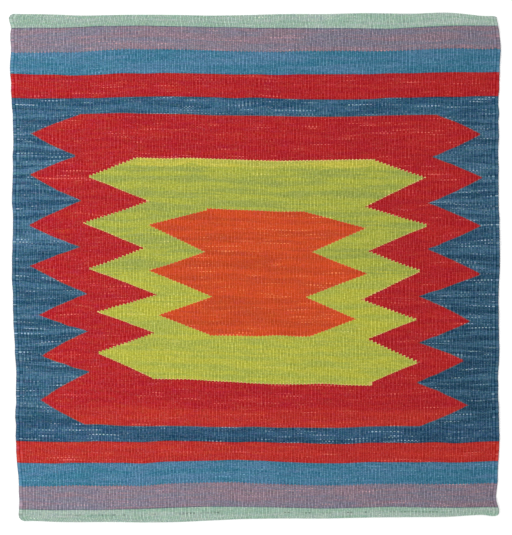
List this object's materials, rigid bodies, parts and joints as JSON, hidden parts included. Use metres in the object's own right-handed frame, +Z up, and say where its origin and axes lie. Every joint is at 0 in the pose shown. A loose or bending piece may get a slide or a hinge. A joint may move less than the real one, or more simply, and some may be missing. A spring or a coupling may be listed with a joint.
{
  "type": "flat-woven kilim rug",
  "caption": "Flat square wool kilim rug lying on the floor, with uneven selvedges, turned-under hems and a stepped zigzag medallion between striped end bands.",
  "frame": {"origin": "on the floor, under the middle of the rug's outline", "axes": "+Z up out of the face, +Y along the warps towards the end at the top of the picture, +X across the rug to its right selvedge"},
  "size_m": [1.0088, 1.0462, 0.0071],
  "materials": {
    "woven_wool": "matt hand-spun wool, weft-faced, red with blue, yellow-green, orange, lilac and mint areas"
  },
  "bodies": {
    "root": {"kilim_cloth": "woven_wool"}
  },
  "joints": []
}
